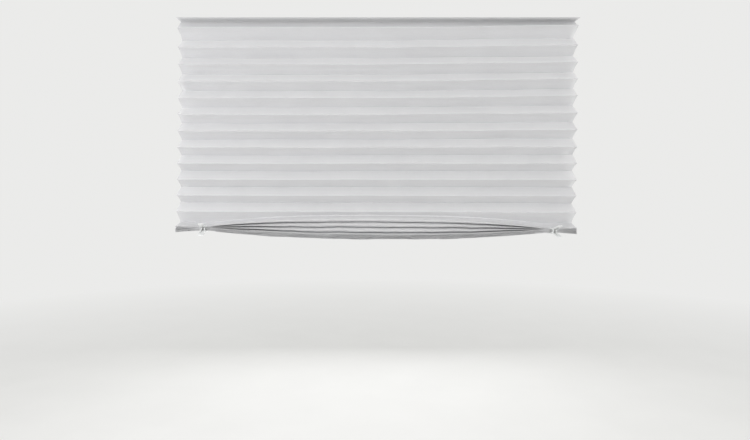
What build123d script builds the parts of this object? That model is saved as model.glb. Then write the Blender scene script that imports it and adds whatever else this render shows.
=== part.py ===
"""Stick-up pleated blind: one folded sheet, its adhesive strip and two sprung clips.

Frame: the origin is the middle of the adhesive strip's top face, which sticks to the soffit of a
window recess. +X runs along the blind, +Z is up and the room is on the -Y side. Millimetres.
"""

from build123d import *
import math
import os

os.makedirs("parts", exist_ok=True)

# --- Driving dimensions: adhesive strip and sheet ---
strip_depth = 25.0
strip_thickness = 1.0
strip_end_margin = 5.0

blind_width = 1200.0
pleat_face = 50.0  # one face of the sheet, from fold to fold
sheet_thickness = 0.2

# --- Driving dimensions: the pleats that hang open, numbered by their front folds ---
hanging_folds = 12
first_fold_drop = 28.0  # soffit to the first front fold
top_pitch = 57.4  # the first pleat is drawn out furthest by the weight below it
upper_pitch = 51.0  # front fold to front fold, just below the first pleat
lower_pitch = 47.5  # front fold to front fold, just above the bundle
back_fold_share = 0.45  # where a back fold lies between the front folds above and below it
hang_behind_header = 18.0  # middle plane of the pleats, behind the header's middle
first_fold_forward = 6.5  # the first front fold is held forward by the header

# --- Driving dimensions: the pleats gathered in the bundle ---
gathered_pleats = 24
left_bundle_drop = 45.0  # last hanging front fold to the bundle's top fold, at the left clip
right_bundle_drop = 51.0  # the same at the right clip, so the bundle hangs slightly askew
bundle_lift = 19.5  # the top fold arches up this much between the clips
bundle_forward = 6.5  # gathered front folds stand this far in front of the hanging ones
pinched_layer = 0.255  # height of one layer between a clip's jaws
slack_layer = 0.35  # height of one layer in the packed part, midway between the clips
open_sag = 38.0  # extra height that the top layers take up, midway between the clips
open_layers = 5.5  # how many layers share that extra height
belly_power = 2.5  # how flat the bundle's belly is between the clips
end_layer = 0.385  # height of one layer at the blind's two ends
end_lift = 1.5  # the top fold rises this much from a clip to the end
clip_pull = 12.0  # a clip draws the back fold above it down
belly_pull = 14.0  # midway between the clips, the back fold above the bundle is drawn forward
belly_stations = (0.4, 0.7, 0.88, 1.0)  # shares of the way to a clip, where the edge is drawn

# --- Driving dimensions: clips ---
clip_spacing = 1040.0
left_clip_turn = 0.0  # degrees about the vertical, grips towards +X
right_clip_turn = 18.0
jaw_width = 16.0
jaw_reach = 26.0  # how far the jaws reach over the bundle
jaw_tip_clearance = 2.0  # past the jaws' tips the bundle's top layer bends up
jaw_tip_thickness = 1.6
jaw_thickness = 2.6
lower_jaw_gap = 0.3  # the moving jaw's clearance under the bundle
grip_length = 30.0  # pin to the end of the grip
grip_spread = 30.6  # between the two grips' inner faces, at their ends
grip_start = 1.0  # the grips start to spread this far in front of the pin
grip_corner = 3.0
rib_radius = 0.6
rib_count = 4
rib_spacing = 3.2
step_slope = 2.4  # length of the jaws' step down to the throat
step_clearance = 0.7
pin_radius = 1.25
pin_head_radius = 2.0
pin_head_thickness = 0.6
fixed_bore_clearance = 0.02
running_clearance = 0.05
ear_radius = 3.8
ear_thickness = 1.7
ear_gap = 0.4  # sideways gap between neighbouring ears, and from the coil to an ear
throat_clearance = 0.8  # from an ear's rim to the other jaw's plate
pin_ahead_of_step = 1.0

# --- Driving dimensions: torsion springs ---
wire_diameter = 0.9
coil_radius = 2.55
coil_turns = 3
coil_pitch = 1.05
spring_leg = 17.0  # from the pin to a leg's end
leg_clearance = 0.02

# --- Places worked out from the driving dimensions ---
header_edge = pleat_face / 2
mean_half_pitch = (upper_pitch + lower_pitch) / 4
fold_depth = math.sqrt(pleat_face**2 - mean_half_pitch**2)
front_y = hang_behind_header - fold_depth / 2
back_y = hang_behind_header + fold_depth / 2
bundle_front = front_y - bundle_forward
bundle_back = bundle_front + pleat_face
hanging_skin = sheet_thickness * pleat_face / (fold_depth + mean_half_pitch)
stack_skin = sheet_thickness
bundle_folds = 2 * gathered_pleats

clip_x = clip_spacing / 2
clip_turn = math.radians(max(abs(left_clip_turn), abs(right_clip_turn)))
bend_reach = jaw_reach + jaw_tip_clearance
pinched_half = jaw_width / 2 * math.cos(clip_turn) + bend_reach * math.sin(clip_turn)
bend_y = bundle_front + bend_reach + jaw_width / 2 * math.sin(clip_turn)


def front_fold_drop(number):
    """Soffit to a hanging front fold, counted from 1: the pitch shrinks evenly downwards."""
    drop = first_fold_drop
    if number > 1:
        drop += top_pitch
    even_pitches = hanging_folds - 2
    for step in range(number - 2):
        share = step / (even_pitches - 1)
        drop += upper_pitch + (lower_pitch - upper_pitch) * share
    return drop


last_front_z = -front_fold_drop(hanging_folds)
inner_reach = clip_x - pinched_half


def top_fold_drop(x):
    """Last hanging front fold to the bundle's top fold, before that fold arches up."""
    share = (min(max(x, -inner_reach), inner_reach) + inner_reach) / (2 * inner_reach)
    return left_bundle_drop + (right_bundle_drop - left_bundle_drop) * share


def belly(x):
    """One midway between the clips, falling to nothing where a clip pinches the bundle."""
    return max(0.0, 1 - (abs(x) / inner_reach) ** belly_power)


def flare(x):
    """Nothing up to a clip, rising to one at the end of the blind."""
    return max(0.0, (abs(x) - clip_x - pinched_half) / (blind_width / 2 - clip_x - pinched_half))


def bundle_fold_z(x, number):
    """Height of a bundle fold, counted from 0 at the top front fold."""
    layer = pinched_layer
    layer += (slack_layer - pinched_layer) * belly(x)
    layer += (end_layer - pinched_layer) * flare(x)
    opened = open_sag * belly(x) * min(number / open_layers, 1)
    top = last_front_z - top_fold_drop(x) + bundle_lift * belly(x) + end_lift * flare(x)
    return top - layer * number - opened


def front_fold(y, z, skin):
    """Outline points of a front fold: two on the room side, one on the window side."""
    return [(y, z + skin), (y, z - skin)], [(y + skin, z)]


def back_fold(y, z, skin):
    """Outline points of a back fold: one on the room side, two on the window side."""
    return [(y - skin, z)], [(y, z + skin), (y, z - skin)]


def outline(folds):
    """Closed outline of the sheet's edge, down its room side and back up its window side."""
    room_side = [point for room, _ in folds for point in room]
    window_side = [point for _, window in folds for point in window]
    return room_side + window_side[::-1]


def hanging_outline():
    """Edge of the header and of the pleats that hang open, down to their last front fold."""
    header_z = -strip_thickness - hanging_skin
    folds = [([(-header_edge, header_z)], [(-header_edge, header_z + hanging_skin)])]
    folds.append(back_fold(header_edge, header_z, hanging_skin))
    for number in range(1, hanging_folds + 1):
        z = -front_fold_drop(number)
        y = front_y - (first_fold_forward if number == 1 else 0)
        folds.append(front_fold(y, z, hanging_skin))
        if number < hanging_folds:
            next_z = -front_fold_drop(number + 1)
            back_z = z + (next_z - z) * back_fold_share
            folds.append(back_fold(back_y, back_z, hanging_skin))
    return outline(folds)


def bundle_outline(x):
    """Edge of the gathered pleats at a place along the blind, from the last hanging fold down."""
    top_z = bundle_fold_z(x, 0)
    back_z = last_front_z + (top_z - last_front_z) / 2 - clip_pull * (1 - belly(x))
    last_back_y = back_y - belly_pull * belly(x)
    slack = max(belly(x), flare(x))
    bend_share = (bend_y - bundle_front) / (last_back_y - bundle_front)
    bend_z = top_z + (back_z - top_z) * bend_share * slack

    folds = [([(front_y, last_front_z - hanging_skin)], [(front_y + hanging_skin, last_front_z)])]
    folds.append(back_fold(last_back_y, back_z, stack_skin))
    folds.append(([(bend_y, bend_z + stack_skin)], [(bend_y + stack_skin, bend_z)]))
    for number in range(bundle_folds - 1):
        z = bundle_fold_z(x, number)
        if number % 2:
            folds.append(back_fold(bundle_back, z, stack_skin))
        else:
            folds.append(front_fold(bundle_front, z, stack_skin))
    end_z = bundle_fold_z(x, bundle_folds - 1)
    folds.append(([(bundle_back - stack_skin, end_z)], [(bundle_back, end_z + stack_skin)]))
    return outline(folds)


# --- Adhesive strip ---
with BuildPart() as adhesive_strip:
    with BuildSketch(Plane.XY.offset(-strip_thickness)):
        Rectangle(blind_width - 2 * strip_end_margin, strip_depth)
    extrude(amount=strip_thickness)
adhesive_strip.part.label = "adhesive_strip"
export_step(adhesive_strip.part, "parts/adhesive_strip.step")

# --- Pleated sheet ---
half_stations = [inner_reach * share for share in belly_stations]
half_stations += [clip_x + pinched_half, blind_width / 2]
stations = [-x for x in reversed(half_stations)] + [0.0] + half_stations

with BuildPart() as pleated_sheet:
    with BuildSketch(Plane.YZ.offset(-blind_width / 2)):
        with BuildLine():
            Polyline(*hanging_outline(), close=True)
        make_face()
    extrude(amount=blind_width)
    for x in stations:
        with BuildSketch(Plane.YZ.offset(x)):
            with BuildLine():
                Polyline(*bundle_outline(x), close=True)
            make_face()
    loft(ruled=True)
pleated_sheet.part.label = "pleated_sheet"
export_step(pleated_sheet.part, "parts/pleated_sheet.step")

# --- Clips: two jaws on a pin, closed over the bundle by a torsion spring ---
mouth_half = ((bundle_folds - 1) * pinched_layer + stack_skin) / 2
throat_half = ear_radius + throat_clearance
step_start = -(jaw_width / 2 * math.tan(clip_turn) + step_clearance)
step_end = step_start - step_slope
pin_y = step_end - pin_ahead_of_step - ear_radius
grip_end = pin_y - grip_length


def grip_height(y):
    """Height of a grip's inner face above the pin, at a place in front of it."""
    start = pin_y - grip_start
    share = (start - y) / (start - grip_end)
    return throat_half + (grip_spread / 2 - throat_half) * share


# A leg runs straight from the coil, which it leaves as a tangent, to just under the grip.
wire_radius = wire_diameter / 2
grip_slope = math.atan2(grip_spread / 2 - throat_half, grip_length - grip_start)
leg_end_y = pin_y - spring_leg
leg_end_z = grip_height(leg_end_y) - (wire_radius + leg_clearance) / math.cos(grip_slope)
leg_end_angle = math.atan2(leg_end_z, -spring_leg)
leave_angle = leg_end_angle - math.acos(coil_radius / math.hypot(spring_leg, leg_end_z))
coil_wraps = coil_turns + leave_angle / math.pi
coil_rise = coil_pitch * coil_wraps
coil_slope = math.atan2(coil_pitch, 2 * math.pi * coil_radius)
leg_run = math.sqrt(spring_leg**2 + leg_end_z**2 - coil_radius**2)
leg_length = leg_run / math.cos(coil_slope)

upper_ear_start = (coil_rise + wire_diameter) / 2 + ear_gap
lower_ear_start = upper_ear_start + ear_thickness + ear_gap
pin_half = lower_ear_start + ear_thickness + running_clearance


def clip_side_plane(x, turn):
    """A clip's side view: its x runs from the grips into the bundle and its y is up."""
    angle = math.radians(turn)
    bundle_top = bundle_fold_z(x, 0) + stack_skin
    return Plane(
        origin=(x, bundle_front, bundle_top - mouth_half),
        x_dir=(-math.sin(angle), math.cos(angle), 0),
        z_dir=(math.cos(angle), math.sin(angle), 0),
    )


def make_jaw(side, up, mouth, ear_start, bore_radius):
    """One half of a clip; up is 1 for the upper half and -1 for the lower."""
    with BuildPart() as jaw:
        with BuildSketch(side.offset(-jaw_width / 2)):
            with BuildLine():
                Polyline(
                    (jaw_reach, up * mouth),
                    (step_start, up * mouth),
                    (step_end, up * throat_half),
                    (pin_y - grip_start, up * throat_half),
                    (grip_end, up * grip_spread / 2),
                    (grip_end, up * (grip_spread / 2 + jaw_thickness)),
                    (pin_y - grip_start, up * (throat_half + jaw_thickness)),
                    (step_end, up * (throat_half + jaw_thickness)),
                    (step_start, up * (mouth + jaw_thickness)),
                    (jaw_reach, up * (mouth + jaw_tip_thickness)),
                    close=True,
                )
            make_face()
            for rib in range(1, rib_count + 1):
                rib_y = grip_end + grip_corner + rib * rib_spacing
                with Locations((rib_y, up * (grip_height(rib_y) + jaw_thickness))):
                    Circle(rib_radius)
        extrude(amount=jaw_width)
        fillet(jaw.edges().filter_by(Axis.Z), radius=grip_corner)
        for first in (ear_start, -ear_start - ear_thickness):
            with BuildSketch(side.offset(first)):
                with Locations((pin_y, 0)):
                    Circle(ear_radius)
                with Locations((pin_y, up * (throat_half + jaw_thickness / 2) / 2)):
                    Rectangle(2 * ear_radius, throat_half + jaw_thickness / 2)
                with Locations((pin_y, 0)):
                    Circle(bore_radius, mode=Mode.SUBTRACT)
            extrude(amount=ear_thickness)
    return jaw


def make_pin(side):
    """The pin through a clip's four ears, headed at both ends."""
    with BuildPart() as pin:
        with BuildSketch(side.offset(-pin_half)):
            with Locations((pin_y, 0)):
                Circle(pin_radius)
        extrude(amount=2 * pin_half)
        for first in (pin_half, -pin_half - pin_head_thickness):
            with BuildSketch(side.offset(first)):
                with Locations((pin_y, 0)):
                    Circle(pin_head_radius)
            extrude(amount=pin_head_thickness)
    return pin


def make_spring(side):
    """Torsion spring: a coil round the pin and two legs that push the grips apart."""
    coil_start = side.x_dir.rotate(Axis(side.origin, side.z_dir), -math.degrees(leave_angle))
    pin_axis = side.from_local_coords((pin_y, 0))
    coil_plane = Plane(origin=pin_axis, x_dir=coil_start, z_dir=side.z_dir).offset(-coil_rise / 2)
    coil = coil_plane * Helix(pitch=coil_pitch, height=coil_rise, radius=coil_radius)
    with BuildLine() as wire:
        add(coil)
        Line(coil @ 0, coil @ 0 - (coil % 0) * leg_length)
        Line(coil @ 1, coil @ 1 + (coil % 1) * leg_length)
    path = wire.wires()[0]
    with BuildPart() as spring:
        with BuildSketch(Plane(origin=path @ 0, z_dir=path % 0)):
            Circle(wire_radius)
        sweep(path=path)
    return spring


for name, x, turn in (
    ("clip_left", -clip_x, left_clip_turn),
    ("clip_right", clip_x, right_clip_turn),
):
    side = clip_side_plane(x, turn)

    upper_bore = pin_radius + fixed_bore_clearance
    upper_jaw = make_jaw(side, 1, mouth_half, upper_ear_start, upper_bore)
    upper_jaw.part.label = f"{name}_upper_jaw"
    export_step(upper_jaw.part, f"parts/{name}_upper_jaw.step")

    lower_bore = pin_radius + running_clearance
    lower_jaw = make_jaw(side, -1, mouth_half + lower_jaw_gap, lower_ear_start, lower_bore)
    lower_jaw.part.label = f"{name}_lower_jaw"
    export_step(lower_jaw.part, f"parts/{name}_lower_jaw.step")

    pin = make_pin(side)
    pin.part.label = f"{name}_pin"
    export_step(pin.part, f"parts/{name}_pin.step")

    spring = make_spring(side)
    spring.part.label = f"{name}_spring"
    export_step(spring.part, f"parts/{name}_spring.step")
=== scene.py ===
"""Stick-up pleated blind, in metres: one folded nonwoven sheet, its foam tape and two sprung clips.

The sheet is built fold by fold from the same driving dimensions as the CAD, with the slack, crumple
and drift that a real one has. It hangs at the origin, which is the top of the tape, facing -Y.
"""

import math

import bmesh
import bpy
import numpy as np
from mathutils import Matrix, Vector


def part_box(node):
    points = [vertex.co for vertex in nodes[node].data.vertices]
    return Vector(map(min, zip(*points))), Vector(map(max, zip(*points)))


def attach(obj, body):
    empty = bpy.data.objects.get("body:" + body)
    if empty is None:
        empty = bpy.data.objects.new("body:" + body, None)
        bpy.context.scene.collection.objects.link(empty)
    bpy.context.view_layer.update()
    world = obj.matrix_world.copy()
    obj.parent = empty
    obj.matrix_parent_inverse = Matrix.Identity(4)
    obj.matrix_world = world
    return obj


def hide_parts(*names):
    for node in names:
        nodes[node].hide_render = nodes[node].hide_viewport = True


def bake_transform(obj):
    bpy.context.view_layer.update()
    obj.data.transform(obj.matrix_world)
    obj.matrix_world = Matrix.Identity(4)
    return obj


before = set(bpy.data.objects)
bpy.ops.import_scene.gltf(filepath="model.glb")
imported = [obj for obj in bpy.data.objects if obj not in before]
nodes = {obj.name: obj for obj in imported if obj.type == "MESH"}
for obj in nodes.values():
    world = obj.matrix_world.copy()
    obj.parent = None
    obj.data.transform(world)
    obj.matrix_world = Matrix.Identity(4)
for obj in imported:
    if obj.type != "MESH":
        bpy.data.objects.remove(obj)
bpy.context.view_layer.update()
scene = bpy.context.scene

MM = 0.001

# --- Driving dimensions: the same as the CAD's ---
PLEAT_FACE = 50 * MM
SHEET_THICKNESS = 0.2 * MM
HANGING_FOLDS = 12
FIRST_FOLD_DROP = 28 * MM
TOP_PITCH = 57.4 * MM
UPPER_PITCH = 51 * MM
LOWER_PITCH = 47.5 * MM
BACK_FOLD_SHARE = 0.45
HANG_BEHIND_HEADER = 18 * MM
FIRST_FOLD_FORWARD = 6.5 * MM
GATHERED_PLEATS = 24
LEFT_BUNDLE_DROP = 45 * MM
RIGHT_BUNDLE_DROP = 51 * MM
BUNDLE_LIFT = 19.5 * MM
BUNDLE_FORWARD = 6.5 * MM
PINCHED_LAYER = 0.255 * MM
SLACK_LAYER = 0.35 * MM
OPEN_SAG = 38 * MM
OPEN_LAYERS = 5.5
BELLY_POWER = 2.5
END_LAYER = 0.385 * MM
END_LIFT = 1.5 * MM
CLIP_PULL = 12 * MM
BELLY_PULL = 14 * MM
CLIP_SPACING = 1040 * MM
JAW_WIDTH = 16 * MM
JAW_REACH = 26 * MM
JAW_TIP_CLEARANCE = 2 * MM
RIGHT_CLIP_TURN = math.radians(18)
STRIP_THICKNESS = 1 * MM

# --- Driving dimensions: how the sheet is drawn ---
COLUMNS = 112  # roughly how many places along the blind, with the marked ones at the clips and kink
HANGING_POINTS = 3  # points across a face that hangs open, between its creases
COVER_POINTS = 9  # the same for the face that covers the bundle
OPEN_POINTS = 6  # the same for the bundle's open layers, and for the face above its cover
PACKED_POINTS = 2  # the same for its packed layers
CREASE_RADIUS = 0.28 * MM
CREASE_DEPTH = 0.8  # how deep a crease's bend is, as a share of its radius
HEADER_CREASE = 1.2 * MM
HEADER_SINK = 0.75  # tape to the header's middle surface, in sheet thicknesses

# --- Driving dimensions: the real sheet's slack, which the CAD leaves out ---
SLACK_LIFT = 4 * MM  # the bundle's top fold stands this much higher, midway between the clips
SLACK_PULL = 8 * MM  # the back fold above it comes this much further forward there
SLACK_CREASE = 2.5 * MM  # and that back fold is this much rounder
COVER_TUCK = 1.2  # midway too: 1 for a straight face, more for one that drops near its front
OPEN_TUCK = 6.5
UNDERSIDE_BULGE = 2.4 * MM
OPEN_UNEVENNESS = 0.12
LAYER_LOWEST, LAYER_HIGHEST = -0.4, 0.9  # limits of a layer's uneven height
SETTLE_LENGTH = 30 * MM  # the layers come loose over this length from a clip
RIGHT_END_RISE = 7 * MM  # the upper folds run up this much towards the right end
RISE_FROM_FOLD = 5  # below this fold the rise shrinks
RISE_REVERSAL = 1.45  # how much of the rise is gone at the last hanging fold
END_DRIFT = -6 * MM  # the lowest fold hangs this far to the side
HELD_LENGTH = 40 * MM  # a clip stops the drift over this length
HELD_FROM, HELD_OVER = 0.85, 0.1  # and from this share of the way down, over this share
END_LENGTH = 45 * MM  # the folds wander more this near to an end
KINK_X = 388 * MM  # a small kink in the bundle
KINK_WIDTH = 9 * MM
KINK_DEPTH = 2.5 * MM
KINK_DROP = 1.2 * MM
KINK_FOLD = 2

# --- Driving dimensions: how far creases and faces wander, and the longest wave of each ---
FOLD_WANDER = 0.5 * MM
FRONT_HEIGHT_WAVE = 900 * MM
FRONT_DEPTH_WAVE = 600 * MM
BACK_HEIGHT_WAVE = 700 * MM
END_WANDER = 1.2 * MM
FRONT_HEIGHT_END_WAVE = 160 * MM
FRONT_DEPTH_END_WAVE = 130 * MM
BACK_HEIGHT_END_WAVE = 140 * MM
BACK_DEPTH_END_WAVE = 120 * MM
FACE_BILLOW = 0.25 * MM
BILLOW_WAVE = 500 * MM
LAYER_WANDER = 0.45
LAYER_WAVE = 260 * MM
MASS_WANDER = 0.8 * MM
MASS_WAVE = 240 * MM
TOP_EDGE_WANDER = 0.25 * MM
EDGE_WANDER = 1.6 * MM
EDGE_WAVE = 220 * MM
BACK_EDGE_SHARE = 0.5  # the bundle's back folds wander this much of what its front ones do

BLIND_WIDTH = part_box("pleated_sheet")[1][0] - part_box("pleated_sheet")[0][0]
HALF_WIDTH = BLIND_WIDTH / 2
CLIP_X = CLIP_SPACING / 2
FOLD_DEPTH = math.sqrt(PLEAT_FACE**2 - ((UPPER_PITCH + LOWER_PITCH) / 4) ** 2)
FRONT_Y = HANG_BEHIND_HEADER - FOLD_DEPTH / 2
BACK_Y = HANG_BEHIND_HEADER + FOLD_DEPTH / 2
BUNDLE_FRONT = FRONT_Y - BUNDLE_FORWARD
BUNDLE_BACK = BUNDLE_FRONT + PLEAT_FACE
BEND_REACH = JAW_REACH + JAW_TIP_CLEARANCE
PINCHED_HALF = JAW_WIDTH / 2 * math.cos(RIGHT_CLIP_TURN) + BEND_REACH * math.sin(RIGHT_CLIP_TURN)
BEND_Y = BUNDLE_FRONT + BEND_REACH + JAW_WIDTH / 2 * math.sin(RIGHT_CLIP_TURN)
INNER_REACH = CLIP_X - PINCHED_HALF
LAYERS = 2 * GATHERED_PLEATS - 1

rng = np.random.default_rng(24)


# --- Shapes shared by the whole sheet; x is an array of places along the blind ---
def smooth(share):
    share = np.clip(share, 0, 1)
    return share * share * (3 - 2 * share)


def wander(x, amplitude, longest, octaves=4):
    """A seeded, smooth, uneven wave along the blind."""
    total = np.zeros_like(x)
    for octave in range(octaves):
        length = longest / 1.8**octave * rng.uniform(0.8, 1.2)
        size = amplitude / 1.5**octave * rng.uniform(0.6, 1.0)
        total += size * np.sin(2 * math.pi * (x / length + rng.uniform()))
    return total


def belly(x):
    return np.maximum(0, 1 - (np.abs(x) / INNER_REACH) ** BELLY_POWER)


def flare(x):
    return np.maximum(0, (np.abs(x) - CLIP_X - PINCHED_HALF) / (HALF_WIDTH - CLIP_X - PINCHED_HALF))


def loose(x):
    """Nothing where a clip holds the bundle, rising to one away from it."""
    return smooth((np.abs(np.abs(x) - CLIP_X) - PINCHED_HALF) / SETTLE_LENGTH)


def near_end(x):
    return smooth((np.abs(x) - (HALF_WIDTH - END_LENGTH)) / END_LENGTH)


def front_fold_drop(number):
    drop = FIRST_FOLD_DROP + (TOP_PITCH if number > 1 else 0)
    for step in range(number - 2):
        drop += UPPER_PITCH + (LOWER_PITCH - UPPER_PITCH) * step / (HANGING_FOLDS - 3)
    return drop


def right_end_rise(number):
    """The upper folds run up towards the right end, and the last one sags a little."""
    share = np.clip((number - RISE_FROM_FOLD) / (HANGING_FOLDS - RISE_FROM_FOLD), 0, 1)
    return RIGHT_END_RISE * (1 - RISE_REVERSAL * share)


# --- The folds, from the header down ---
FRONT, BACK = -1, 1


class Fold:
    """One crease: where it runs, and how the face above it gets there."""

    def __init__(self, side, y, z, radius=CREASE_RADIUS, inner=HANGING_POINTS, bulge=0.0, tuck=1.0):
        self.side = side
        self.y = y
        self.z = z
        self.radius = radius
        self.inner = inner  # points across the face
        self.bulge = bulge  # how far the face's middle stands above a straight line
        self.tuck = tuck  # 1 for a straight face, more for one whose slope is all at its front

    def level(self, share):
        """How far down the face has come from the crease above to this one, at a share of its depth."""
        if self.side == BACK:
            return 1 - (1 - share) ** self.tuck
        return share**self.tuck


class CoverFold(Fold):
    """The bundle's top front fold: at a clip, the face above drops behind the jaw, then lies flat."""

    def __init__(self, side, y, z, radius, tuck, slack):
        super().__init__(side, y, z, radius=radius, inner=COVER_POINTS, tuck=tuck)
        self.slack = slack  # 0 where a clip holds the bundle, 1 where nothing does

    def level(self, share):
        flat_from = (BACK_Y - BEND_Y) / (BACK_Y - BUNDLE_FRONT)
        held = min(share / flat_from, 1)
        return held + (super().level(share) - held) * self.slack


def sheet_columns():
    """Places along the blind, closer together at the clips and the kink."""
    marks = [-HALF_WIDTH, HALF_WIDTH, KINK_X]
    for side in (-1, 1):
        marks += [side * INNER_REACH, side * (CLIP_X + PINCHED_HALF), side * CLIP_X]
    marks += [KINK_X - KINK_WIDTH / 2, KINK_X + KINK_WIDTH / 2]
    step = BLIND_WIDTH / (COLUMNS - len(marks))
    places = sorted(marks)
    filled = [places[0]]
    for start, end in zip(places, places[1:]):
        count = max(1, round((end - start) / step))
        filled += list(np.linspace(start, end, count + 1)[1:])
    return np.array(filled)


def hanging_folds(x):
    """The header, then the pleats that hang open, down to their last front fold."""
    header_z = -STRIP_THICKNESS - SHEET_THICKNESS * HEADER_SINK
    level = np.full_like(x, header_z)
    folds = [Fold(FRONT, np.full_like(x, -PLEAT_FACE / 2), level, radius=0)]
    header_back = np.full_like(x, PLEAT_FACE / 2)
    folds.append(Fold(BACK, header_back, level - HEADER_CREASE, radius=HEADER_CREASE))
    right_share = np.clip(x / HALF_WIDTH, 0, 1)
    end_share = near_end(x)
    for number in range(1, HANGING_FOLDS + 1):
        z = -front_fold_drop(number) + right_end_rise(number) * right_share
        z += wander(x, FOLD_WANDER, FRONT_HEIGHT_WAVE)
        z += wander(x, END_WANDER, FRONT_HEIGHT_END_WAVE) * end_share
        y = FRONT_Y + wander(x, FOLD_WANDER, FRONT_DEPTH_WAVE)
        y += wander(x, END_WANDER, FRONT_DEPTH_END_WAVE) * end_share
        if number == 1:
            y -= FIRST_FOLD_FORWARD
        folds.append(Fold(FRONT, y, z, bulge=wander(x, FACE_BILLOW, BILLOW_WAVE, octaves=3)))
        if number < HANGING_FOLDS:
            pitch = front_fold_drop(number + 1) - front_fold_drop(number)
            back_z = -front_fold_drop(number) - pitch * BACK_FOLD_SHARE
            back_z += right_end_rise(number + 0.5) * right_share
            back_z += wander(x, FOLD_WANDER, BACK_HEIGHT_WAVE)
            back_z += wander(x, END_WANDER, BACK_HEIGHT_END_WAVE) * end_share
            back_y = BACK_Y + wander(x, END_WANDER, BACK_DEPTH_END_WAVE) * end_share
            bulge = UNDERSIDE_BULGE + wander(x, FACE_BILLOW, BILLOW_WAVE, octaves=3)
            folds.append(Fold(BACK, back_y, back_z, bulge=bulge))
    return folds


def layer_heights(x):
    """Height of each bundle layer along the blind: pinched at the clips and open at the belly."""
    packed = PINCHED_LAYER + (SLACK_LAYER - PINCHED_LAYER) * belly(x)
    packed += (END_LAYER - PINCHED_LAYER) * flare(x)
    sag = (OPEN_SAG + SLACK_LIFT) * belly(x)
    heights = []
    for number in range(LAYERS):
        unevenness = np.clip(wander(x, LAYER_WANDER, LAYER_WAVE), LAYER_LOWEST, LAYER_HIGHEST) * loose(x)
        share = np.clip(OPEN_LAYERS - number, 0, 1) / OPEN_LAYERS
        opened = sag * share * (1 + OPEN_UNEVENNESS * unevenness)
        heights.append(packed * (1 + unevenness) + opened)
    scale = (LAYERS * packed + sag) / np.sum(heights, axis=0)
    return [height * scale for height in heights]


def bundle_folds(x):
    """The back fold above the bundle, then the gathered layers down to the free back edge."""
    share = (np.clip(x, -INNER_REACH, INNER_REACH) + INNER_REACH) / (2 * INNER_REACH)
    last_front_z = -front_fold_drop(HANGING_FOLDS)
    top = last_front_z - LEFT_BUNDLE_DROP - (RIGHT_BUNDLE_DROP - LEFT_BUNDLE_DROP) * share
    top += (BUNDLE_LIFT + SLACK_LIFT) * belly(x) + END_LIFT * flare(x)
    back_z = last_front_z + (top - last_front_z) / 2 - CLIP_PULL * (1 - belly(x))
    slack = np.maximum(belly(x), flare(x))
    cover_tuck = 1 + (COVER_TUCK - 1) * belly(x)
    open_tuck = 1 + (OPEN_TUCK - 1) * belly(x)
    bulge = UNDERSIDE_BULGE * (1 - belly(x))
    last_back_y = BACK_Y - (BELLY_PULL + SLACK_PULL) * belly(x)
    radius = CREASE_RADIUS + SLACK_CREASE * belly(x)
    folds = [Fold(BACK, last_back_y, back_z, radius, inner=OPEN_POINTS, bulge=bulge, tuck=cover_tuck)]
    sway = wander(x, MASS_WANDER, MASS_WAVE, octaves=5) * loose(x) * belly(x)
    kink = np.exp(-(((x - KINK_X) / KINK_WIDTH) ** 2))
    heights = layer_heights(x)
    z = top
    for number in range(LAYERS + 1):
        depth_share = min(1, number / (2 * OPEN_LAYERS)) ** 2
        amplitude = TOP_EDGE_WANDER + EDGE_WANDER * depth_share
        wandering = wander(x, amplitude, EDGE_WAVE, octaves=5) * loose(x)
        if number % 2:
            side = BACK
            y = BUNDLE_BACK + wandering * BACK_EDGE_SHARE
        else:
            side = FRONT
            y = BUNDLE_FRONT + wandering
        fold_z = z + sway * depth_share
        if number == KINK_FOLD:
            y = y + KINK_DEPTH * kink
            fold_z = fold_z - KINK_DROP * kink
        below = heights[min(number, LAYERS - 1)]
        above = heights[max(number - 1, 0)]
        radius = np.minimum(np.minimum(below, above) / 2, CREASE_RADIUS)
        if number == 0:
            folds.append(CoverFold(side, y, fold_z, radius, cover_tuck, slack))
        elif number - 1 < OPEN_LAYERS:
            folds.append(Fold(side, y, fold_z, radius=radius, tuck=open_tuck, inner=OPEN_POINTS))
        else:
            folds.append(Fold(side, y, fold_z, radius=radius, inner=PACKED_POINTS))
        z = z - below
    return folds


def sheet_path(x):
    """The sheet's middle surface: points down the path, each an array of y and z along the blind."""
    folds = hanging_folds(x) + bundle_folds(x)
    points = []
    for number, fold in enumerate(folds):
        radius = fold.radius + np.zeros_like(x)
        reach = -fold.side * radius * CREASE_DEPTH
        entry = (fold.y + reach, fold.z + radius)
        leave = (fold.y + reach, fold.z - radius)
        last = number == len(folds) - 1
        if number:
            start = points[-1]
            for step in range(1, fold.inner + 1):
                share = step / (fold.inner + 1)
                y = start[0] + (entry[0] - start[0]) * share
                z = start[1] + (entry[1] - start[1]) * fold.level(share)
                points.append((y, z + fold.bulge * math.sin(math.pi * share)))
        if np.max(radius) == 0 or last:
            points.append((fold.y, fold.z + radius))
        else:
            points += [entry, (fold.y, fold.z), leave]
    return points


def drift(x, z):
    """The blind hangs a little to the left, more so lower down, except where the clips hold it."""
    lowest = -front_fold_drop(HANGING_FOLDS) - LEFT_BUNDLE_DROP
    held = 1 - smooth((np.abs(np.abs(x) - CLIP_X) - PINCHED_HALF) / HELD_LENGTH)
    depth = np.clip(z / lowest, 0, 1)
    return END_DRIFT * depth**2 * (1 - held * smooth((depth - HELD_FROM) / HELD_OVER))


def build_mesh(name, vertices, faces):
    mesh = bpy.data.meshes.new(name)
    mesh.from_pydata(vertices, [], faces)
    mesh.update()
    piece = bpy.data.objects.new(name, mesh)
    scene.collection.objects.link(piece)
    mesh.shade_smooth()
    return piece


def keep_faces_flat(piece):
    weighted = piece.modifiers.new("weighted", "WEIGHTED_NORMAL")
    weighted.weight = 100


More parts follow.
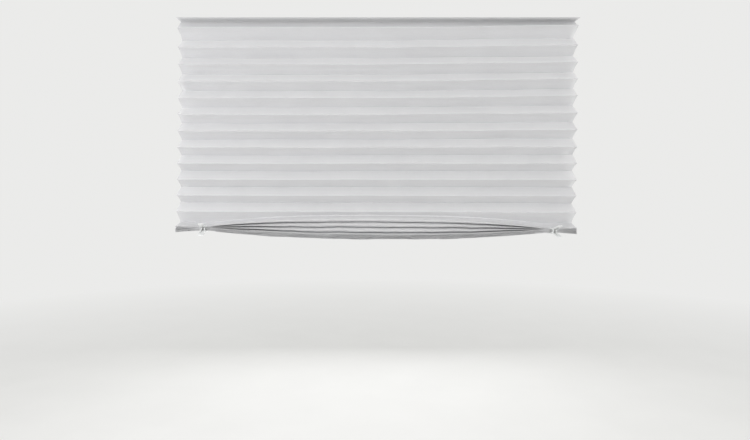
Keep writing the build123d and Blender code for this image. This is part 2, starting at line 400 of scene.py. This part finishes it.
def make_sheet():
    x = sheet_columns()
    path = np.array(sheet_path(x))  # point, (y, z), column
    count, _, columns = path.shape
    y, z = path[:, 0], path[:, 1]
    along = np.stack([np.gradient(y, axis=0), np.gradient(z, axis=0)])
    along /= np.maximum(np.linalg.norm(along, axis=0), 1e-9)
    skins = []
    for side in (-0.5, 0.5):
        skin_y = y - side * SHEET_THICKNESS * along[1]
        skin_z = z + side * SHEET_THICKNESS * along[0]
        skin_x = x[None, :] + drift(x[None, :], z)
        skins.append(np.stack([skin_x, skin_y, skin_z], axis=-1).reshape(-1, 3))
    vertices = np.concatenate(skins)

    def index(skin, point, column):
        return skin * count * columns + point * columns + column

    faces = []
    for point in range(count - 1):
        for column in range(columns - 1):
            quad = [(point, column), (point, column + 1), (point + 1, column + 1), (point + 1, column)]
            faces.append([index(0, *corner) for corner in quad])
            faces.append([index(1, *corner) for corner in reversed(quad)])
    rim = [(point, 0) for point in range(count)]
    rim += [(count - 1, column) for column in range(1, columns)]
    rim += [(point, columns - 1) for point in range(count - 2, -1, -1)]
    rim += [(0, column) for column in range(columns - 2, 0, -1)]
    for start, end in zip(rim, rim[1:] + rim[:1]):
        faces.append([index(0, *start), index(0, *end), index(1, *end), index(1, *start)])
    piece = build_mesh("blind_sheet", vertices.tolist(), faces)
    keep_faces_flat(piece)
    return piece


# --- Materials ---
class Graph:
    """A material's nodes, with links made as nodes are added."""

    def __init__(self, name, **constants):
        self.material = bpy.data.materials.new(name)
        self.material.use_nodes = True
        self.tree = self.material.node_tree
        self.shader = self.tree.nodes["Principled BSDF"]
        for socket, value in constants.items():
            self.shader.inputs[socket.replace("_", " ")].default_value = value
        self.place = self.add("ShaderNodeTexCoord").outputs["Object"]

    def add(self, kind, values=(), **settings):
        node = self.tree.nodes.new(kind)
        for name, value in settings.items():
            setattr(node, name, value)
        for socket, value in dict(values).items():
            if isinstance(value, bpy.types.NodeSocket):
                self.tree.links.new(value, node.inputs[socket])
            else:
                node.inputs[socket].default_value = value
        return node

    def stretched(self, scale):
        return self.add("ShaderNodeMapping", {"Vector": self.place, "Scale": scale}).outputs["Vector"]

    def noise(self, scale, detail=3.0, roughness=0.5, stretch=(1, 1, 1)):
        values = {"Vector": self.stretched(stretch)}
        values.update({"Scale": scale, "Detail": detail, "Roughness": roughness})
        return self.add("ShaderNodeTexNoise", values).outputs["Fac"]

    def ramp(self, factor, low, high):
        """Maps low..high to 0..1."""
        values = {"Value": factor, "From Min": low, "From Max": high}
        return self.add("ShaderNodeMapRange", values).outputs["Result"]

    def roughness(self, factor, low, high, smooth, rough):
        """Roughness from smooth to rough as factor goes from low to high."""
        values = {"Value": factor, "From Min": low, "From Max": high, "To Min": smooth, "To Max": rough}
        self.connect("Roughness", self.add("ShaderNodeMapRange", values).outputs["Result"])

    def maths(self, operation, first, second):
        return self.add("ShaderNodeMath", {0: first, 1: second}, operation=operation).outputs["Value"]

    def blend(self, factor, first, second):
        node = self.add("ShaderNodeMix", data_type="RGBA")
        for socket, value in ((0, factor), (6, first), (7, second)):
            if isinstance(value, bpy.types.NodeSocket):
                self.tree.links.new(value, node.inputs[socket])
            else:
                node.inputs[socket].default_value = value
        return node.outputs[2]

    def connect(self, socket, value):
        self.tree.links.new(value, self.shader.inputs[socket])

    def bump(self, height, strength, distance):
        values = {"Height": height, "Strength": strength, "Distance": distance}
        self.connect("Normal", self.add("ShaderNodeBump", values).outputs["Normal"])


def grey(value, warmth=0.0):
    return (value * (1 + warmth), value, value * (1 - warmth), 1.0)


def nonwoven_material():
    """White spunbond that lets light through: cloudy in bulk, with fine crossing fibres."""
    graph = Graph("nonwoven", Sheen_Weight=0.1, Sheen_Roughness=0.5, Specular_IOR_Level=0.2,
                  Subsurface_Weight=1.0, Subsurface_Scale=0.6 * MM, Subsurface_Radius=(1, 1, 1))
    cloud = graph.noise(14.0, detail=4.0)
    streaks = graph.noise(30.0, detail=3.0, stretch=(1, 8, 8))
    mottle = graph.noise(260.0, detail=4.0, roughness=0.65)
    fibres_up = graph.noise(900.0, detail=2.0, stretch=(2.2, 0.35, 0.35))
    fibres_along = graph.noise(900.0, detail=2.0, stretch=(0.25, 2.0, 2.0))
    fibres_up = graph.ramp(fibres_up, 0.52, 0.72)
    fibres_along = graph.ramp(fibres_along, 0.52, 0.72)
    fibres = graph.maths("MAXIMUM", fibres_up, fibres_along)
    cloudiness = graph.maths("ADD", graph.ramp(cloud, 0.3, 0.7), graph.ramp(streaks, 0.3, 0.7))
    speckle = graph.maths("MULTIPLY", graph.ramp(mottle, 0.3, 0.7), 0.4)
    tone = graph.maths("ADD", graph.maths("MULTIPLY", cloudiness, 0.3), speckle)
    base = graph.blend(tone, (0.60, 0.60, 0.61, 1), (0.65, 0.65, 0.658, 1))
    base = graph.blend(graph.maths("MULTIPLY", fibres, 0.35), base, (0.69, 0.69, 0.70, 1))
    graph.connect("Base Color", base)
    graph.roughness(mottle, 0.0, 1.0, 0.72, 0.92)
    mottle_relief = graph.maths("MULTIPLY", mottle, 1.2)
    fibre_relief = graph.maths("MULTIPLY", fibres, 0.5)
    graph.bump(graph.maths("ADD", mottle_relief, fibre_relief), 0.25, 0.1 * MM)
    return graph.material


def foam_material():
    graph = Graph("foam_tape", Specular_IOR_Level=0.4)
    cells = graph.add("ShaderNodeTexVoronoi", {"Vector": graph.place, "Scale": 2200.0})
    pore_pit_and_shade = graph.ramp(cells.outputs["Distance"], 0.0, 0.35)
    cloud = graph.noise(60.0)
    # Painted shade: the foam is coloured darker in the pits of its cells, the same places the bump
    # sinks.
    base = graph.blend(pore_pit_and_shade, (0.55, 0.55, 0.52, 1), (0.82, 0.82, 0.79, 1))
    graph.connect("Base Color", graph.blend(graph.ramp(cloud, 0.35, 0.65), base, (0.86, 0.86, 0.84, 1)))
    graph.roughness(cloud, 0.0, 1.0, 0.35, 0.6)
    graph.bump(pore_pit_and_shade, 0.4, 0.15 * MM)
    return graph.material


def plastic_material():
    """Milky moulded plastic: faint flow marks, and fine scuffs that break up its gloss."""
    graph = Graph("clip_plastic", IOR=1.49, Subsurface_Weight=0.3, Subsurface_Scale=1.2 * MM,
                  Subsurface_Radius=(1, 1, 1), Coat_Weight=0.3, Coat_Roughness=0.12)
    flow = graph.noise(140.0, detail=2.0, stretch=(1, 3, 3))
    scuffs = graph.noise(1500.0, detail=3.0, roughness=0.7, stretch=(1, 0.2, 0.6))
    base = graph.blend(graph.ramp(flow, 0.3, 0.7), (0.72, 0.735, 0.735, 1), (0.83, 0.84, 0.835, 1))
    graph.connect("Base Color", base)
    graph.roughness(scuffs, 0.3, 0.75, 0.14, 0.42)
    graph.bump(graph.maths("ADD", flow, scuffs), 0.04, 0.1 * MM)
    return graph.material


def steel_material(name, dark, bright, streak):
    """Bright drawn or turned steel; streak scales its fine streaks on each axis."""
    graph = Graph(name, Metallic=1.0)
    streaks = graph.noise(2600.0, detail=3.0, roughness=0.6, stretch=streak)
    patches = graph.noise(500.0)
    tone = graph.maths("MULTIPLY", graph.maths("ADD", streaks, patches), 0.5)
    graph.connect("Base Color", graph.blend(graph.ramp(tone, 0.35, 0.65), dark, bright))
    graph.roughness(tone, 0.3, 0.7, 0.2, 0.42)
    graph.bump(streaks, 0.1, 0.05 * MM)
    return graph.material


# --- The sheet ---
nonwoven = nonwoven_material()
blind_sheet = make_sheet()
blind_sheet.data.materials.append(nonwoven)
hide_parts("pleated_sheet")
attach(blind_sheet, "blind")


# --- The foam tape ---
FOAM_STATIONS = 160
FOAM_INSET = 0.5 * MM  # room in the CAD's strip for the uneven edges
FOAM_EDGE_WANDER = 0.22 * MM
FOAM_EDGE_WAVE = 120 * MM
FOAM_BOW = 0.12 * MM
# Up one long edge: share of the height, and how many bows the edge stands in from its plain line.
FOAM_EDGE = [(0.0, 0.35), (0.12, 0.1), (0.5, -1.0), (0.88, 0.1), (1.0, 0.35)]


def make_foam_strip():
    """A die-cut strip with soft, slightly uneven long edges; its top and bottom stay flat."""
    low, high = (Vector(corner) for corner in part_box("adhesive_strip"))
    x = np.linspace(low.x, high.x, FOAM_STATIONS)
    edges = {side: wander(x, FOAM_EDGE_WANDER, FOAM_EDGE_WAVE) for side in (-1, 1)}
    middle = (low.y + high.y) / 2
    half = (high.y - low.y) / 2 - FOAM_INSET
    section = [(-1, *point) for point in FOAM_EDGE] + [(1, *point) for point in reversed(FOAM_EDGE)]
    vertices = []
    for column in range(FOAM_STATIONS):
        for side, height, bows in section:
            y = middle + side * (half - bows * FOAM_BOW) + edges[side][column]
            vertices.append((x[column], y, low.z + (high.z - low.z) * height))
    count = len(section)
    faces = []
    for column in range(FOAM_STATIONS - 1):
        for number in range(count):
            a = column * count + number
            b = column * count + (number + 1) % count
            faces.append([a, a + count, b + count, b])
    faces.append(list(range(count)))
    faces.append([(FOAM_STATIONS - 1) * count + number for number in reversed(range(count))])
    piece = build_mesh("foam_strip", vertices, faces)
    keep_faces_flat(piece)
    return piece


foam_strip = make_foam_strip()
foam_strip.data.materials.append(foam_material())
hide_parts("adhesive_strip")
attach(foam_strip, "blind")


# --- The clips ---
JAW_EDGE = 0.35 * MM
PIN_EDGE = 0.18 * MM
WELD_DISTANCE = 0.002 * MM
FLAT_ANGLE = math.radians(1)
EDGE_ANGLE = math.radians(32)


def finished_copy(node, name, bevel):
    """A node's solid with its flat faces made whole and its edges softened, as moulded or turned."""
    piece = bpy.data.objects.new(name, nodes[node].data.copy())
    scene.collection.objects.link(piece)
    mesh = piece.data
    mesh.materials.clear()
    work = bmesh.new()
    work.from_mesh(mesh)
    bmesh.ops.remove_doubles(work, verts=work.verts, dist=WELD_DISTANCE)
    bmesh.ops.dissolve_limit(work, angle_limit=FLAT_ANGLE, verts=work.verts, edges=work.edges)
    bmesh.ops.recalc_face_normals(work, faces=work.faces)
    work.to_mesh(mesh)
    work.free()
    mesh.shade_smooth()
    if bevel:
        softened = piece.modifiers.new("softened", "BEVEL")
        softened.width = bevel
        softened.segments = 3
        softened.limit_method = "ANGLE"
        softened.angle_limit = EDGE_ANGLE
        softened.use_clamp_overlap = True
    keep_faces_flat(piece)
    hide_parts(node)
    return piece


plastic = plastic_material()
pin_steel = steel_material("pin_steel", grey(0.42), grey(0.62), (0.3, 2, 2))
spring_steel = steel_material("spring_wire", grey(0.34, 0.02), grey(0.55, 0.01), (1, 1, 1))

for side in ("left", "right"):
    jaw_body = f"clip_{side}_jaw"
    for part, body in (("upper", "blind"), ("lower", jaw_body)):
        jaw = finished_copy(f"clip_{side}_{part}_jaw", f"clip_{side}_{part}", JAW_EDGE)
        jaw.data.materials.append(plastic)
        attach(jaw, body)
    pin = finished_copy(f"clip_{side}_pin", f"clip_{side}_rivet", PIN_EDGE)
    pin.data.materials.append(pin_steel)
    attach(pin, "blind")
    spring = finished_copy(f"clip_{side}_spring", f"clip_{side}_torsion_spring", 0)
    spring.data.materials.append(spring_steel)
    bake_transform(spring)

# --- Floor, light and camera ---
BACKGROUND = (0.83, 0.83, 0.82)
FLOOR_Z = -1.6
FLOOR_RADIUS = 6.0
FLOOR_RINGS = 12
FLOOR_SPOKES = 96
FADE_FROM, FADE_TO = 0.45, 0.9  # shares of the radius

scene.view_settings.view_transform = "Standard"
world = bpy.data.worlds.new("studio")
scene.world = world
world.use_nodes = True
world.node_tree.nodes["Background"].inputs["Color"].default_value = (*BACKGROUND, 1)
world.node_tree.nodes["Background"].inputs["Strength"].default_value = 1.0


def make_floor():
    """A round pale floor that fades into the background before its edge."""
    vertices = [(0, 0, FLOOR_Z)]
    faces = []
    for ring in range(1, FLOOR_RINGS + 1):
        for spoke in range(FLOOR_SPOKES):
            angle = 2 * math.pi * spoke / FLOOR_SPOKES
            radius = FLOOR_RADIUS * ring / FLOOR_RINGS
            vertices.append((radius * math.cos(angle), radius * math.sin(angle), FLOOR_Z))
    for spoke in range(FLOOR_SPOKES):
        following = (spoke + 1) % FLOOR_SPOKES
        faces.append([0, 1 + spoke, 1 + following])
        for ring in range(FLOOR_RINGS - 1):
            inner, outer = 1 + ring * FLOOR_SPOKES, 1 + (ring + 1) * FLOOR_SPOKES
            faces.append([inner + spoke, outer + spoke, outer + following, inner + following])
    floor = build_mesh("floor", vertices, faces)
    graph = Graph("floor", Roughness=0.9, Specular_IOR_Level=0.1)
    tone = graph.ramp(graph.noise(3.0), 0.3, 0.7)
    graph.connect("Base Color", graph.blend(tone, (0.80, 0.80, 0.79, 1), (0.82, 0.82, 0.81, 1)))
    glow = graph.add("ShaderNodeEmission", {"Color": (*BACKGROUND, 1)}).outputs["Emission"]
    distance = graph.add("ShaderNodeVectorMath", {0: graph.place}, operation="LENGTH").outputs["Value"]
    fade = graph.ramp(distance, FADE_FROM * FLOOR_RADIUS, FADE_TO * FLOOR_RADIUS)
    mix = graph.add("ShaderNodeMixShader", {0: fade, 1: graph.shader.outputs["BSDF"], 2: glow})
    graph.tree.links.new(mix.outputs["Shader"], graph.tree.nodes["Material Output"].inputs["Surface"])
    floor.data.materials.append(graph.material)


make_floor()


def soft_light(name, place, aim, size, power, colour=(1, 1, 1)):
    data = bpy.data.lights.new(name, "AREA")
    data.shape = "RECTANGLE"
    data.size, data.size_y = size
    data.energy = power
    data.color = colour
    light = bpy.data.objects.new(name, data)
    light.location = place
    light.rotation_euler = (Vector(aim) - Vector(place)).to_track_quat("-Z", "Y").to_euler()
    scene.collection.objects.link(light)
    light.visible_camera = False


soft_light("key", (0.0, -2.9, 0.55), (0, 0, -0.45), (1.6, 1.0), 20)
soft_light("low_fill", (0, -2.2, -1.1), (0, 0, -0.4), (1.6, 0.4), 1.8)
soft_light("left_fill", (-1.5, -0.6, -0.35), (-0.5, 0, -0.4), (0.8, 0.8), 5.6, (0.97, 0.965, 1.0))
soft_light("right_fill", (1.5, -0.6, -0.35), (0.5, 0, -0.4), (0.8, 0.8), 1.0)
soft_light("window_light", (0, 2.2, -0.3), (0, 0, -0.35), (2.4, 1.0), 17)

# In front of the lower pleats, slightly left of the middle, level and square to the blind.
CAMERA_PLACE = (-0.039, -1.782, -0.4955)
CAMERA_LENS = 28.46
CAMERA_SENSOR = 36
CAMERA_SHIFT = (0.0133, -0.048)

camera_data = bpy.data.cameras.new("camera")
camera_data.sensor_width = CAMERA_SENSOR
camera_data.lens = CAMERA_LENS
camera_data.shift_x, camera_data.shift_y = CAMERA_SHIFT
camera = bpy.data.objects.new("camera", camera_data)
camera.location = CAMERA_PLACE
camera.rotation_euler = (math.radians(90), 0, 0)
scene.collection.objects.link(camera)
scene.camera = camera
